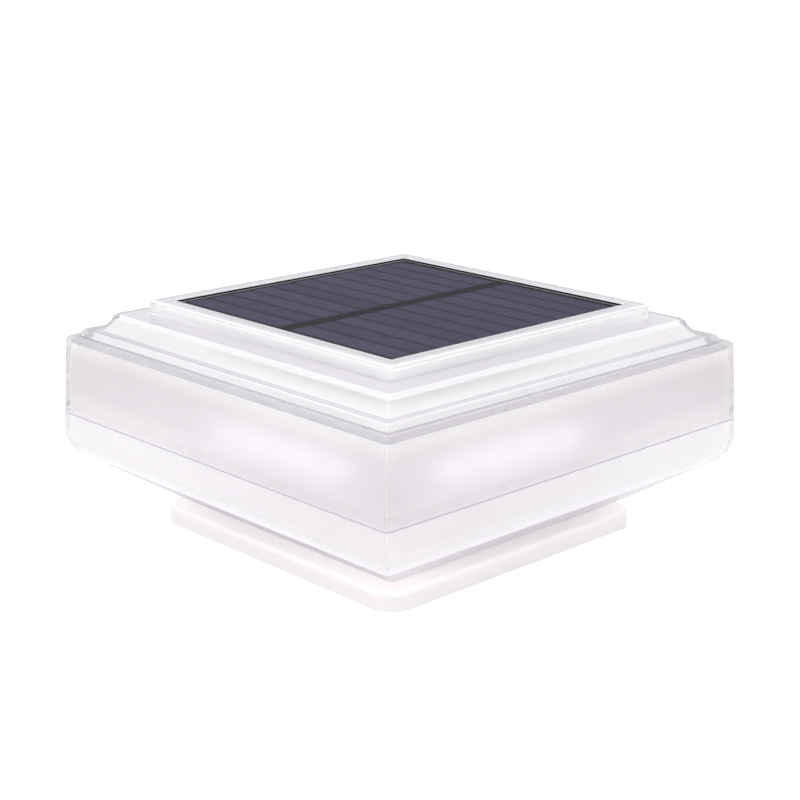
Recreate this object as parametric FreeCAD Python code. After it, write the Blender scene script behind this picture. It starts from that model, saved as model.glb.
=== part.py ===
import FreeCAD, Part
import math
import os

os.makedirs("parts", exist_ok=True)

# Solar cap light for a square deck post. The axis is +Z, the origin is at the centre of
# the foot's underside, and the four sides face along X and Y. Millimetres and degrees.

# ---- Post and the white collar that grips it ----
post_width = 88.9          # a planed timber post sold as four by four inches
post_clearance = 1.05      # between the post and each socket wall
socket_depth = 24.0        # how far the post goes in
collar_wall = 2.4          # walls, web and ceiling of the collar
flange_height = 6.3
flange_ledge = 8.45        # what the flange shows outside the clear tray
flange_corner = 9.0
flange_edge = 1.8          # rounding of the flange's top edge
rib_width = 1.6
rib_lift = 1.5             # the ribs stop this far above the underside
rib_count = 3              # stiffening ribs under each side of the flange
window_half = 38.0         # opening in the socket's ceiling
window_chamfer = 16.0      # leaves a pad for a post screw in each corner
post_screw_radius = 2.25
post_screw_inset = 4.5     # from the window's sides, on the pad in each corner
snap_width = 12.0
snap_depth = 1.5
snap_height = 4.0
snap_face = 1.6            # upright face of the catch, below its ramp
snap_land = 0.5            # from the tongue's free end down to the catch
snap_slot = 1.2            # free cut round the sprung tongue
slot_land = 0.6            # wall between that cut and the socket's ceiling
snap_tongue = 13.0         # length of the tongue

# ---- Clear tray below the seam ----
fit_gap = 0.3              # loose fit between moulded parts
shell_wall = 2.6           # wall of the clear tray and shade
throat_wall = 2.2          # square tube of the tray round the collar
throat_margin = 1.95       # from that tube to the outer edge of the throat
slope_angle = 33.0         # underside, measured from level
belly_radius = 11.5        # between the sloping underside and the wall
wall_draft = 2.7           # the wall leans in towards the top
corner_round = 2.0         # outer upright corners
inner_round = 0.8          # inner upright corners
rim_height = 6.0           # straight wall of the tray below the seam
tongue_height = 3.5
tongue_wall = 1.1
tongue_gap = 0.1
service_gap = 0.5          # between the collar's ceiling and the base plate

# ---- Clear shade above the seam, tier by tier from the wall to the panel ----
shade_wall_height = 28.0
wall_edge = 2.0            # rounding of the wall's top edge
ring_width = 3.55          # flat ring inside that edge, with the edge
lip_height = 2.15
lip_flare = 1.0            # how far the lip's side leans
lip_edge = 1.0
lip_width = 3.5
cove_height = 5.6
cove_width = 4.5
cove_radius = 10.0
crest_edge = 0.5
tier_round = 1.5           # upright corners of the lip and cove
shelf_width = 8.75
bezel_width = 6.5
bezel_height = 5.0
bezel_flare = 0.3
bezel_edge = 0.8
bezel_round = 1.0
rim_wall = 2.2             # walls left each side of the groove under the bezel
groove_depth = 3.6
recess_floor = 2.2
lead_opening_x = 26.0
lead_opening_y = 12.0
lead_opening_offset = 18.0
boss_half = 3.6            # square screw bosses

# ---- Solar panel ----
panel_size = 110.0
panel_gap = 0.3
board_thickness = 1.6
coat_thickness = 0.8
cell_thickness = 0.3
coat_below_rim = 0.4
seal_thickness = 0.6
seal_width = 4.0
cell_count = 11            # strips in each of the two rows
cell_gap = 0.5
cell_bus = 6.2             # plain band between the rows
border_end = 2.6           # plain border beyond the strips' ends
border_side = 3.2          # plain border beside the outer strips
terminal_size = 4.0
terminal_thickness = 0.4
terminal_spacing = 12.0

# ---- Sealed lamp core: base plate, housing and fasteners ----
plate_thickness = 3.0
gasket_thickness = 0.6
gasket_width = 1.6
housing_wall = 2.2
housing_height = 31.4
register_height = 3.0
register_wall = 1.6
register_gap = 0.2
pillar_half = 3.6          # square pillars that the long screws pass
pillar_inset = 6.7         # pillar centre from the housing's inner wall
lead_slot_width = 8.0      # behind each strip and in the housing's ceiling
lead_slot_height = 3.0
screw_radius = 1.5
screw_slack = 0.05
head_radius = 2.8          # countersunk, flush with the plate
head_height = 1.3
core_pilot = 9.0           # depth of the pilot holes in the shade's bosses
pilot_spare = 1.0          # pilot hole beyond a screw's end

# ---- Light-emitting strips on the housing's four sides ----
strip_length = 72.0
strip_height = 9.0
strip_thickness = 1.2
strip_pocket = 0.4         # how deep the strips sit in the housing
strip_rise = 8.0           # strip centre above the housing's lower edge
led_count = 4
led_spacing = 18.0
led_width = 3.5
led_height = 2.8
led_thickness = 0.7

# ---- Battery bay ----
battery_radius = 9.1
battery_length = 64.0
battery_pole_radius = 2.8
battery_pole_height = 1.0
battery_offset = 22.0      # bay centre, towards -Y
battery_play = 0.4
bay_wall = 1.6
bay_height = 15.0
contact_thickness = 0.5
contact_width = 11.0
contact_height = 13.0
leaf_reach = 4.5
leaf_bend = 1.0
door_thickness = 1.5
door_gasket_thickness = 0.5
door_gasket_width = 1.4
door_overlap = 2.4         # door beyond the bay's opening
door_gap = 0.2
door_ear_half = 4.6
door_ear_reach = 14.2      # screw from the door's centre line
door_hook_width = 16.0     # on the side away from the screw
door_hook_wall = 1.8
door_hook_reach = 1.4      # into the slot in the bay's wall
door_hook_height = 1.0
door_rib_width = 2.0
door_rib_spacing = 22.0
door_rib_height = 4.6      # before the cell's hollow is cut from the ribs
door_screw_radius = 1.2
door_head_radius = 2.2
door_head_height = 1.0
door_pilot = 5.0

# ---- Circuit board and switch ----
pcb_length = 60.0
pcb_width = 38.0
pcb_thickness = 1.6
pcb_offset = 23.0          # board centre, towards +Y
pcb_rise = 10.0            # board underside above the base plate
pcb_hole_inset = 4.0
pcb_post_half = 3.0
stake_half = 1.0           # square stakes through the board, melted over on top of it
stake_head_half = 1.6
stake_head = 0.8
stake_gap = 0.1
switch_size = 8.0
switch_height = 4.8
switch_x = 14.0
plunger_radius = 1.6
plunger_gap = 0.3
plunger_inside = 2.3       # plunger length inside the switch at rest
plunger_outside = 2.2      # and below it

# Block components: place from the board's centre, then length, width and height.
controller = (-2.0, 0.0, 6.0, 5.0, 1.6)
driver = (11.0, -6.0, 3.0, 3.0, 1.2)
diode = (11.0, 4.0, 4.5, 2.6, 2.0)
inductor = (20.0, 1.0, 6.6, 6.6, 3.2)
# Round component: place, then radius and height.
capacitor = (-14.0, 6.0, 3.15, 7.0)
# Two-way lead sockets along the board's inner edge.
socket_count = 3
socket_spacing = 15.0
socket_inset = 4.5         # socket centre from the board's edge
socket_length = 7.4
socket_width = 5.8
socket_height = 6.0
socket_side = 0.8
socket_floor = 1.0

# ---- Push button ----
button_radius = 4.5
button_stands_out = 1.6
button_travel = 1.6
button_flange_half = 5.6   # square, so the button can't turn
button_flange = 1.2
button_lift = 0.3          # from the base plate to the button's flange
button_edge = 0.6
seal_half = 7.0
seal_gap = 0.3
seal_pocket = 1.2

same = 0.01                # lengths nearer to each other than this are one length

# ---- Worked out from the sizes above ----
origin = FreeCAD.Vector(0, 0, 0)
up = FreeCAD.Vector(0, 0, 1)
slope = math.radians(slope_angle)
draft = math.radians(wall_draft)

socket_half = post_width / 2 + post_clearance
collar_half = socket_half + collar_wall
collar_top = socket_depth + collar_wall
slot_top = socket_depth - slot_land
tongue_top = slot_top - snap_slot
catch_top = tongue_top - snap_land
tube_inner = collar_half + fit_gap
tube_outer = tube_inner + throat_wall
throat_half = tube_outer + throat_margin
flange_half = throat_half + flange_ledge
post_screw_offset = window_half - post_screw_inset

recess_half = panel_size / 2 + panel_gap
bezel_half = recess_half + bezel_width
crest_half = bezel_half + shelf_width
cove_half = crest_half + cove_width
lip_half = cove_half + lip_width
wall_top_half = lip_half + lip_flare + ring_width

# The wall and the sloping underside would meet in a sharp corner here.
belly_turn = math.pi / 2 - slope + draft
belly_tangent = belly_radius * math.tan(belly_turn / 2)
wall_height = belly_tangent * math.cos(draft) + rim_height + shade_wall_height
corner_half = wall_top_half + wall_height * math.tan(draft)
corner_z = flange_height + (corner_half - throat_half) * math.tan(slope)
belly_top = corner_z + belly_tangent * math.cos(draft)
seam_z = belly_top + rim_height
ring_z = seam_z + shade_wall_height
lip_z = ring_z + lip_height
shelf_z = lip_z + cove_height
bezel_z = shelf_z + bezel_height
panel_top = bezel_z - coat_below_rim
board_top = panel_top - coat_thickness
board_bottom = board_top - board_thickness
floor_top = board_bottom - seal_thickness
floor_bottom = floor_top - recess_floor

plate_bottom = collar_top + service_gap
plate_top = plate_bottom + plate_thickness
housing_bottom = plate_top + gasket_thickness
housing_top = housing_bottom + housing_height
core_half = tube_outer
housing_inner = core_half - housing_wall
housing_ceiling = housing_top - housing_wall
pillar_offset = housing_inner - pillar_inset

battery_z = plate_top + battery_play + battery_radius
bay_half_width = battery_radius + battery_play
bay_half_length = (battery_length + battery_pole_height + leaf_reach) / 2 + contact_thickness
door_top = plate_bottom + door_thickness
door_ledge = door_top + door_gasket_thickness
door_half_length = bay_half_length + door_overlap
door_half_width = bay_half_width + door_overlap

pcb_bottom = plate_top + pcb_rise
pcb_top = pcb_bottom + pcb_thickness
switch_bottom = pcb_bottom - switch_height
plunger_bottom = switch_bottom - plunger_outside
button_flange_bottom = plate_top + button_lift
button_flange_top = button_flange_bottom + button_flange


# ---- Shapes that repeat ----
def square_wire(half, z, radius):
    """A level square with rounded corners, centred on the axis."""
    flat = half - radius
    diagonal = flat + radius * math.sqrt(0.5)
    edges = []
    for quarter in range(4):
        corners = [(half, -flat), (half, flat), (diagonal, diagonal), (flat, half)]
        turned = []
        for x, y in corners:
            for _ in range(quarter):
                x, y = -y, x
            turned.append(FreeCAD.Vector(x, y, z))
        side_start, side_end, arc_middle, arc_end = turned
        edges.append(Part.makeLine(side_start, side_end))
        edges.append(Part.Arc(side_end, arc_middle, arc_end).toShape())
    return Part.Wire(edges)


def line(start, end):
    """A straight stretch of an outline between two (half width, height) points."""
    return Part.makeLine(FreeCAD.Vector(start[0], 0, start[1]), FreeCAD.Vector(end[0], 0, end[1]))


def arc(centre, radius, first, last):
    """A round stretch of an outline, from one angle to the other by way of their middle."""
    places = []
    for angle in (first, (first + last) / 2, last):
        places.append(FreeCAD.Vector(centre[0] + radius * math.cos(angle), 0,
                                     centre[1] + radius * math.sin(angle)))
    return Part.Arc(*places).toShape()


def mitred(outline, radius=0.0):
    """A square solid with one outline on all four sides, and its upright corners rounded."""
    low = outline[0].Vertexes[0].Point
    high = outline[-1].Vertexes[-1].Point
    other = [edge.mirror(origin, FreeCAD.Vector(1, 0, 0)) for edge in outline]
    ends = [line((-low.x, low.z), (low.x, low.z)), line((-high.x, high.z), (high.x, high.z))]
    face = Part.Face(Part.Wire(Part.__sortEdges__(outline + other + ends)))
    depth = 4 * face.BoundBox.XMax
    bar = face.extrude(FreeCAD.Vector(0, depth, 0))
    bar.translate(FreeCAD.Vector(0, -depth / 2, 0))
    solid = bar.common(turned(bar, 90)).removeSplitter()
    corners = []
    for edge in solid.Edges:
        ends = [vertex.Point for vertex in edge.Vertexes]
        upright = abs(ends[0].z - ends[-1].z) > same
        if upright and all(abs(abs(end.x) - abs(end.y)) < same for end in ends):
            corners.append(edge)
    return solid.makeFillet(radius, corners) if radius else solid


def tier(low, high, radius=0.0):
    """A square solid that leans from one (half width, height) to the other."""
    return mitred([line(low, high)], radius)


def prism(half, z0, z1, radius=0.0):
    if not radius:
        return block(-half, half, -half, half, z0, z1)
    return Part.Face(square_wire(half, z0, radius)).extrude(FreeCAD.Vector(0, 0, z1 - z0))


def frame(outer, inner, z0, z1, outer_radius=0.0, inner_radius=0.0):
    return prism(outer, z0, z1, outer_radius).cut(prism(inner, z0, z1, inner_radius))


def block(x0, x1, y0, y1, z0, z1):
    return Part.makeBox(x1 - x0, y1 - y0, z1 - z0, FreeCAD.Vector(x0, y0, z0))


def post(x, y, z0, z1, half):
    return block(x - half, x + half, y - half, y + half, z0, z1)


def rod(x, y, z0, z1, radius):
    return Part.makeCylinder(radius, z1 - z0, FreeCAD.Vector(x, y, z0), up)


def fuse(shapes):
    result = shapes[0]
    for shape in shapes[1:]:
        result = result.fuse(shape)
    return result.removeSplitter()


def turned(shape, degrees):
    copy = shape.copy()
    copy.rotate(origin, up, degrees)
    return copy


def four_sides(shape):
    return [turned(shape, 90 * side) for side in range(4)]


def four_corners(offset_x, offset_y, centre_y=0.0):
    return [(sx * offset_x, centre_y + sy * offset_y) for sx in (-1, 1) for sy in (-1, 1)]


def ring_edges(shape, half, z):
    """The edges of a shape's level square outline with this half width and height."""
    found = []
    for edge in shape.Edges:
        points = [edge.valueAt(edge.FirstParameter), edge.valueAt(edge.LastParameter)]
        level = all(abs(point.z - z) < same for point in points)
        reach = [max(abs(point.x), abs(point.y)) for point in points]
        if level and all(abs(value - half) < same for value in reach):
            found.append(edge)
    return found


def countersunk(x, y, face_z, length, radius, head, height):
    """A screw that points up, with its flat head flush with the face that it enters."""
    shank = rod(x, y, face_z, face_z + length, radius)
    cone = Part.makeCone(head, radius, height, FreeCAD.Vector(x, y, face_z), up)
    return fuse([shank, cone])


def countersink(x, y, face_z, radius, head, height, gap):
    """What the hole for such a screw takes away at the face."""
    return Part.makeCone(head + gap, radius + gap, height, FreeCAD.Vector(x, y, face_z), up)


def ring_edges_round(shape, radius, z):
    found = []
    for edge in shape.Edges:
        circle = edge.Curve
        if hasattr(circle, "Radius") and abs(circle.Radius - radius) < same:
            if abs(circle.Center.z - z) < same:
                found.append(edge)
    return found


def save(name, shape):
    shape.exportStep("parts/" + name + ".step")
    print(name, len(shape.Solids), "solid(s)", round(shape.Volume / 1000, 2), "cm3", shape.isValid())


# ---- White collar on the post ----
def snap_wedge():
    """Catch on the +X tongue: a ramp that the tray slides over, and a square shoulder below."""
    shoulder = catch_top - snap_height
    profile = Part.makePolygon([
        FreeCAD.Vector(collar_half, 0, catch_top),
        FreeCAD.Vector(collar_half + snap_depth, 0, shoulder + snap_face),
        FreeCAD.Vector(collar_half + snap_depth, 0, shoulder),
        FreeCAD.Vector(collar_half, 0, shoulder),
        FreeCAD.Vector(collar_half, 0, catch_top)])
    wedge = Part.Face(profile).extrude(FreeCAD.Vector(0, snap_width, 0))
    wedge.translate(FreeCAD.Vector(0, -snap_width / 2, 0))
    return wedge


def post_collar():
    flange = prism(flange_half, 0, flange_height, flange_corner)
    flange = flange.makeFillet(flange_edge, ring_edges(flange, flange_half, flange_height))
    hollow_half = flange_half - collar_wall
    web_bottom = flange_height - collar_wall
    hollow = prism(hollow_half, 0, web_bottom, flange_corner - collar_wall)
    socket = prism(collar_half, 0, collar_top, inner_round + collar_wall)
    body = fuse([flange.cut(hollow), socket])
    body = body.cut(prism(socket_half, 0, socket_depth, inner_round))

    cutter = prism(window_half, socket_depth, collar_top, inner_round)
    leg = window_chamfer
    for corner in range(4):
        pad = Part.makePolygon([
            FreeCAD.Vector(window_half, window_half - leg, socket_depth),
            FreeCAD.Vector(window_half, window_half, socket_depth),
            FreeCAD.Vector(window_half - leg, window_half, socket_depth),
            FreeCAD.Vector(window_half, window_half - leg, socket_depth)])
        pad = Part.Face(pad).extrude(FreeCAD.Vector(0, 0, collar_wall))
        cutter = cutter.cut(turned(pad, 90 * corner))
    body = body.cut(cutter)

    for x, y in four_corners(post_screw_offset, post_screw_offset):
        body = body.cut(rod(x, y, socket_depth, collar_top, post_screw_radius))

    pitch = 2 * collar_half / rib_count
    ribs = []
    for number in range(rib_count):
        y = (number - (rib_count - 1) / 2) * pitch
        rib = block(collar_half, hollow_half, y - rib_width / 2, y + rib_width / 2,
                    rib_lift, web_bottom)
        ribs += four_sides(rib)
    body = fuse([body] + ribs)

    # A cut round three sides of each catch frees a tongue of the wall, which springs.
    reach = snap_width / 2 + 2 * snap_slot
    foot = tongue_top - snap_tongue
    slot = block(socket_half, collar_half, -reach, reach, foot, slot_top)
    slot = slot.cut(block(socket_half, collar_half, snap_slot - reach, reach - snap_slot,
                          foot, tongue_top))
    for cut in four_sides(slot):
        body = body.cut(cut)
    return fuse([body] + four_sides(snap_wedge()))


# ---- Clear tray and shade ----
def wall_half(z):
    return corner_half - (z - corner_z) * math.tan(draft)


def hopper(bottom_z, inset=0.0, radius=0.0):
    """Solid of the tray's outline up to the seam, drawn in by a wall where inset is given."""
    reach = belly_radius / math.cos(belly_turn / 2)
    bisector = (slope - math.pi / 2 + draft) / 2
    centre = (corner_half - reach * math.cos(bisector), corner_z - reach * math.sin(bisector))
    belly = arc(centre, belly_radius - inset, slope - math.pi / 2, draft)
    under, over = [(vertex.Point.x, vertex.Point.z) for vertex in belly.Vertexes]
    bottom_half = under[0] - (under[1] - bottom_z) / math.tan(slope)
    top_half = wall_half(seam_z) - inset / math.cos(draft)
    return mitred([line((bottom_half, bottom_z), under), belly, line(over, (top_half, seam_z))], radius)


def tray():
    shell = hopper(flange_height, radius=corner_round)
    shell = shell.cut(hopper(flange_height + shell_wall, shell_wall))
    tube = prism(tube_outer, flange_height, plate_bottom, inner_round + throat_wall)
    tongue_inner = wall_half(seam_z) - shell_wall / math.cos(draft)
    tongue = frame(tongue_inner + tongue_wall, tongue_inner, seam_z - shell_wall / 2,
                   seam_z + tongue_height)
    body = fuse([shell, tube, tongue])
    body = body.cut(prism(tube_inner, flange_height, plate_bottom, inner_round))
    window = block(tube_inner - fit_gap, tube_outer + fit_gap,
                   -snap_width / 2 - fit_gap, snap_width / 2 + fit_gap,
                   catch_top - snap_height - tongue_gap, catch_top + fit_gap)
    for cut in four_sides(window):
        body = body.cut(cut)
    return body


def shade_outside():
    wall = tier((wall_half(seam_z), seam_z), (wall_half(ring_z), ring_z), corner_round)
    wall = wall.makeFillet(wall_edge, ring_edges(wall, wall_half(ring_z), ring_z))
    lip = tier((lip_half + lip_flare, ring_z), (lip_half, lip_z), tier_round)
    lip = lip.makeFillet(lip_edge, ring_edges(lip, lip_half, lip_z))
    chord = math.hypot(cove_width, cove_height)
    away = math.sqrt(cove_radius ** 2 - chord ** 2 / 4)
    centre = ((crest_half + cove_half) / 2 + away * cove_height / chord,
              (lip_z + shelf_z) / 2 + away * cove_width / chord)
    first = math.atan2(lip_z - centre[1], cove_half - centre[0]) % (2 * math.pi)
    last = math.atan2(shelf_z - centre[1], crest_half - centre[0]) % (2 * math.pi)
    cove = mitred([arc(centre, cove_radius, first, last)], tier_round)
    cove = cove.makeChamfer(crest_edge, ring_edges(cove, crest_half, shelf_z))
    bezel = tier((bezel_half, shelf_z), (bezel_half - bezel_flare, bezel_z), bezel_round)
    bezel = bezel.makeChamfer(bezel_edge, ring_edges(bezel, bezel_half - bezel_flare, bezel_z))
    return fuse([wall, lip, cove, bezel])


def shade():
    ceiling = ring_z - shell_wall
    lower = wall_half(seam_z) - shell_wall / math.cos(draft)
    upper = wall_half(ceiling) - shell_wall / math.cos(draft)
    pitch = cove_width / cove_height
    offset = shell_wall * math.hypot(1, pitch)
    shelf_under = shelf_z - shell_wall
    cove_low = cove_half - offset + (lip_z - ceiling) * pitch
    cove_high = crest_half - offset + shell_wall * pitch
    body = shade_outside()
    body = body.cut(tier((lower, seam_z), (upper, ceiling)))
    body = body.cut(tier((cove_low, ceiling), (cove_high, shelf_under)))
    body = body.cut(prism(bezel_half - rim_wall, shelf_under, floor_bottom))
    groove = frame(bezel_half - rim_wall, recess_half + rim_wall,
                   floor_bottom, floor_bottom + groove_depth)
    body = body.cut(groove)
    body = body.cut(prism(recess_half, floor_top, bezel_z))
    body = body.cut(block(-lead_opening_x / 2, lead_opening_x / 2,
                          lead_opening_offset - lead_opening_y / 2,
                          lead_opening_offset + lead_opening_y / 2, floor_bottom, floor_top))
    rebate_half = lower + tongue_wall + tongue_gap
    body = body.cut(prism(rebate_half, seam_z, seam_z + tongue_height))
    bosses = [post(x, y, housing_top, floor_bottom, boss_half) for x, y in core_places()]
    body = fuse([body] + bosses)
    for x, y in core_places():
        body = body.cut(rod(x, y, housing_top, housing_top + core_pilot, screw_radius + screw_slack))
    return body


# ---- Solar panel in the bezel ----
def panel_seal():
    half = panel_size / 2
    return frame(half, half - seal_width, floor_top, board_bottom)


def panel_board():
    return prism(panel_size / 2, board_bottom, board_top)


def solar_cells():
    strip_pitch = (panel_size - 2 * border_side + cell_gap) / cell_count
    strips = []
    for row in (-1, 1):
        inner = row * cell_bus / 2
        outer = row * (panel_size / 2 - border_end)
        for number in range(cell_count):
            y = -panel_size / 2 + border_side + number * strip_pitch
            strips.append(block(min(inner, outer), max(inner, outer), y, y + strip_pitch - cell_gap,
                                board_top, board_top + cell_thickness))
    return strips


def panel_coat(strips):
    coat = prism(panel_size / 2, board_top, panel_top)
    return coat.cut(Part.makeCompound(strips))


def panel_terminals():
    pads = []
    for side in (-1, 1):
        x = side * terminal_spacing / 2
        y = lead_opening_offset
        half = terminal_size / 2
        pads.append(block(x - half, x + half, y - half, y + half,
                          board_bottom - terminal_thickness, board_bottom))
    return pads


# ---- Sealed lamp core ----
def core_places():
    """The long screws that clamp base plate and housing to the bosses of the shade."""
    return [(side * pillar_offset, side * pillar_offset) for side in (-1, 1)]


def lamp_housing():
    body = prism(core_half, housing_bottom, housing_top, inner_round + housing_wall)
    body = body.cut(prism(housing_inner, housing_bottom, housing_ceiling))
    pillars = [post(x, y, plate_top, housing_ceiling, pillar_half) for x, y in core_places()]
    body = fuse([body] + pillars)
    for x, y in core_places():
        body = body.cut(rod(x, y, plate_top, housing_top, screw_radius + fit_gap))
    half = lead_slot_width / 2
    body = body.cut(block(-half, half, lead_opening_offset - half, lead_opening_offset + half,
                          housing_ceiling, housing_top))
    strip_z = housing_bottom + strip_rise
    pocket = block(core_half - strip_pocket, core_half, -strip_length / 2 - panel_gap,
                   strip_length / 2 + panel_gap, strip_z - strip_height / 2 - panel_gap,
                   strip_z + strip_height / 2 + panel_gap)
    slot = block(housing_inner, core_half, -half, half,
                 strip_z - lead_slot_height / 2, strip_z + lead_slot_height / 2)
    for cut in four_sides(pocket.fuse(slot)):
        body = body.cut(cut)
    return body


def led_board():
    """The strip on the +X side of the housing."""
    inner = core_half - strip_pocket
    strip_z = housing_bottom + strip_rise
    return block(inner, inner + strip_thickness, -strip_length / 2, strip_length / 2,
                 strip_z - strip_height / 2, strip_z + strip_height / 2)


def led_chips():
    """The light-emitting chips on the +X strip."""
    face = core_half - strip_pocket + strip_thickness
    strip_z = housing_bottom + strip_rise
    chips = []
    for number in range(led_count):
        y = (number - (led_count - 1) / 2) * led_spacing
        chips.append(block(face, face + led_thickness, y - led_width / 2, y + led_width / 2,
                           strip_z - led_height / 2, strip_z + led_height / 2))
    return chips


def housing_gasket():
    return frame(core_half, core_half - gasket_width, plate_top, housing_bottom,
                 inner_round + housing_wall)


def core_screws():
    length = housing_top + core_pilot - pilot_spare - plate_bottom
    return [countersunk(x, y, plate_bottom, length, screw_radius, head_radius, head_height)
            for x, y in core_places()]


def bay_outline(half_length, half_width, z0, z1):
    return block(-half_length, half_length, -battery_offset - half_width,
                 -battery_offset + half_width, z0, z1)


def door_screw_y():
    return door_ear_reach - battery_offset


def door_outline(gap, z0, z1):
    """The battery door's outline with its screw ear, grown by a gap."""
    door = bay_outline(door_half_length + gap, door_half_width + gap, z0, z1)
    return fuse([door, post(0, door_screw_y(), z0, z1, door_ear_half + gap)])


def base_plate():
    plate = prism(core_half, plate_bottom, plate_top, inner_round + housing_wall)
    rim_outer = housing_inner - register_gap
    register = frame(rim_outer, rim_outer - register_wall, plate_top, plate_top + register_height)
    bay = bay_outline(bay_half_length + bay_wall, bay_half_width + bay_wall,
                      plate_top, plate_top + bay_height)
    posts = [post(x, y, plate_top, pcb_bottom, pcb_post_half) for x, y in pcb_corners()]
    posts += [post(x, y, pcb_bottom, pcb_top + stake_head, stake_half) for x, y in pcb_corners()]
    posts += [post(x, y, pcb_top, pcb_top + stake_head, stake_head_half) for x, y in pcb_corners()]
    boss = post(0, door_screw_y(), plate_top, door_ledge + door_pilot + bay_wall,
                door_screw_radius + bay_wall)
    body = fuse([plate, register, bay, boss] + posts)
    body = body.cut(bay_outline(bay_half_length, bay_half_width, plate_bottom, plate_top + bay_height))
    body = body.cut(door_outline(door_gap, plate_bottom, door_ledge))
    body = body.cut(rod(0, door_screw_y(), door_ledge, door_ledge + door_pilot,
                        door_screw_radius + screw_slack))
    hook_half = door_hook_width / 2 + door_gap
    bay_side = -battery_offset - bay_half_width
    body = body.cut(block(-hook_half, hook_half, bay_side - bay_wall, bay_side,
                          plate_top, plate_top + door_hook_height + 2 * door_gap))
    for x, y in core_places():
        body = body.cut(rod(x, y, plate_bottom, plate_top, screw_radius + fit_gap))
        body = body.cut(countersink(x, y, plate_bottom, screw_radius, head_radius, head_height, fit_gap))
    body = body.cut(rod(switch_x, pcb_offset, plate_bottom, plate_top, button_radius + fit_gap))
    body = body.cut(post(switch_x, pcb_offset, plate_top - seal_pocket, plate_top, seal_half))
    return body


# ---- Battery, its contacts and its door ----
def battery_cell():
    start = -bay_half_length + contact_thickness + leaf_reach
    place = FreeCAD.Vector(start, -battery_offset, battery_z)
    along = FreeCAD.Vector(1, 0, 0)
    can = Part.makeCylinder(battery_radius, battery_length, place, along)
    pole_place = place + FreeCAD.Vector(battery_length, 0, 0)
    pole = Part.makeCylinder(battery_pole_radius, battery_pole_height, pole_place, along)
    return fuse([can, pole])


def contact_plate():
    outer = bay_half_length
    y = -battery_offset
    half = contact_width / 2
    return block(outer - contact_thickness, outer, y - half, y + half,
                 battery_z - contact_height / 2, battery_z + contact_height / 2)


def contact_leaf():
    """Sprung contact for the flat end: a flat tab with a bowed tongue, fixed at its foot."""
    back = -bay_half_length
    inner = back + contact_thickness
    tip = inner + leaf_reach
    half = contact_width / 2
    low = battery_z - contact_height / 2
    high = battery_z + contact_height / 2
    bow_radius = (contact_height ** 2 / 4 + leaf_reach ** 2) / (2 * leaf_reach)
    bow_place = FreeCAD.Vector(tip - bow_radius, -battery_offset - half, battery_z)
    across = FreeCAD.Vector(0, 1, 0)
    bow = Part.makeCylinder(bow_radius, contact_width, bow_place, across)
    bow = bow.cut(Part.makeCylinder(bow_radius - contact_thickness, contact_width, bow_place, across))
    bow = bow.common(block(inner, tip, -battery_offset - half, -battery_offset + half,
                           low, high - leaf_bend))
    tab = block(back, inner, -battery_offset - half, -battery_offset + half, low, high)
    return fuse([tab, bow])


def battery_door():
    side = -battery_offset - bay_half_width
    ribs = []
    for number in (-1, 0, 1):
        x = number * door_rib_spacing
        ribs.append(block(x - door_rib_width / 2, x + door_rib_width / 2, side + door_gap,
                          bay_half_width - battery_offset - door_gap, door_top,
                          door_top + door_rib_height))
    hook_half = door_hook_width / 2
    hook_bottom = plate_top + door_gap
    hook_top = hook_bottom + door_hook_height
    riser = block(-hook_half, hook_half, side + door_gap, side + door_gap + door_hook_wall,
                  door_top, hook_top)
    hook = block(-hook_half, hook_half, side - door_hook_reach, side + door_gap, hook_bottom, hook_top)
    pad = post(0, door_screw_y(), door_top, door_ledge, door_screw_radius + bay_wall)
    body = fuse([door_outline(0, plate_bottom, door_top), pad, riser, hook] + ribs)
    cell = Part.makeCylinder(battery_radius + screw_slack, 2 * door_half_length,
                             FreeCAD.Vector(-door_half_length, -battery_offset, battery_z),
                             FreeCAD.Vector(1, 0, 0))
    body = body.cut(cell)
    body = body.cut(rod(0, door_screw_y(), plate_bottom, door_ledge, door_screw_radius + screw_slack))
    return body.cut(countersink(0, door_screw_y(), plate_bottom, door_screw_radius,
                                door_head_radius, door_head_height, screw_slack))


def door_gasket():
    outer = bay_outline(bay_half_length + door_gasket_width, bay_half_width + door_gasket_width,
                        door_top, door_ledge)
    return outer.cut(bay_outline(bay_half_length, bay_half_width, door_top, door_ledge))


def door_screw():
    length = door_ledge + door_pilot - pilot_spare - plate_bottom
    return countersunk(0, door_screw_y(), plate_bottom, length, door_screw_radius,
                       door_head_radius, door_head_height)


# ---- Circuit board, switch and button ----
def pcb_corners():
    return four_corners(pcb_length / 2 - pcb_hole_inset, pcb_width / 2 - pcb_hole_inset, pcb_offset)


def circuit_board():
    body = block(-pcb_length / 2, pcb_length / 2, pcb_offset - pcb_width / 2,
                 pcb_offset + pcb_width / 2, pcb_bottom, pcb_top)
    for x, y in pcb_corners():
        body = body.cut(post(x, y, pcb_bottom, pcb_top, stake_half + stake_gap))
    return body


def on_board(x, y, length, width, height):
    """A component standing on the board, placed from the board's centre."""
    return block(x - length / 2, x + length / 2, pcb_offset + y - width / 2,
                 pcb_offset + y + width / 2, pcb_top, pcb_top + height)


def board_components():
    blocks = [on_board(*size) for size in (controller, driver, diode, inductor)]
    x, y, radius, height = capacitor
    return blocks + [rod(x, pcb_offset + y, pcb_top, pcb_top + height, radius)]


def board_connectors():
    sockets = []
    y = socket_inset - pcb_width / 2
    for number in range(socket_count):
        x = (number - (socket_count - 1) / 2) * socket_spacing
        shell = on_board(x, y, socket_length, socket_width, socket_height)
        mouth = on_board(x, y - socket_side, socket_length - 2 * socket_side,
                         socket_width - 2 * socket_side, socket_height)
        mouth.translate(FreeCAD.Vector(0, 0, socket_floor))
        sockets.append(shell.cut(mouth))
    return sockets


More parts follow.
